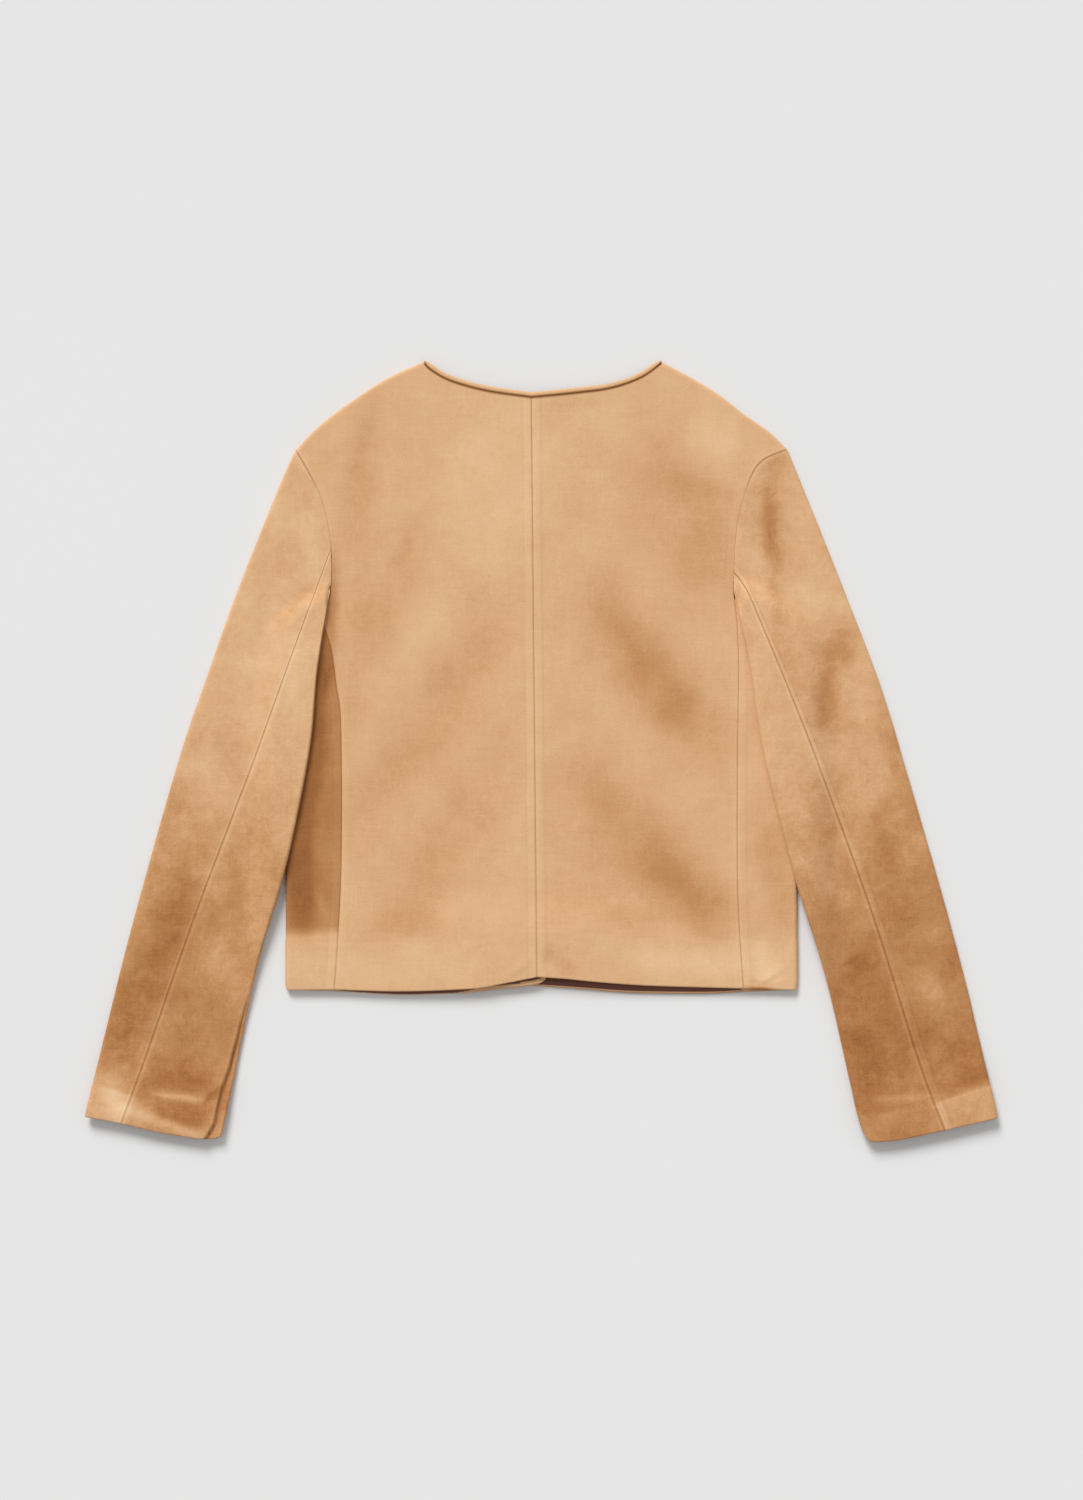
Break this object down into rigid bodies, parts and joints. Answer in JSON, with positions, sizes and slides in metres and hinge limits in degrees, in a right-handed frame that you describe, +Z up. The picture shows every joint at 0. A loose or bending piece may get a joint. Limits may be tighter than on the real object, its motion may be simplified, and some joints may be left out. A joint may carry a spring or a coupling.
{
  "type": "suede jacket",
  "caption": "Short collarless suede jacket laid flat with its back up, with two-piece sleeves down its sides, side panels and lapped fronts",
  "frame": {"origin": "under the middle of the bounding box, on the surface the jacket lies on", "axes": "+X across the back to the wearer's right, +Y from the hem to the neck, +Z up out of the jacket's back"},
  "size_m": [0.82, 0.7033, 0.0132],
  "materials": {
    "suede": "brushed suede nap, matte",
    "facing": "brushed suede nap, matte, darker where it is shaded",
    "binding": "brushed suede nap, matte"
  },
  "bodies": {
    "root": {"back_left": "suede", "back_right": "suede", "side_left": "suede", "side_right": "suede", "front_left": "suede", "front_right": "suede", "facing_left": "facing", "facing_right": "facing", "sleeve_left_upper": "suede", "sleeve_left_under": "suede", "sleeve_right_upper": "suede", "sleeve_right_under": "suede", "neck_binding_back": "binding", "neck_binding_front_left": "binding", "neck_binding_front_right": "binding"}
  },
  "joints": []
}
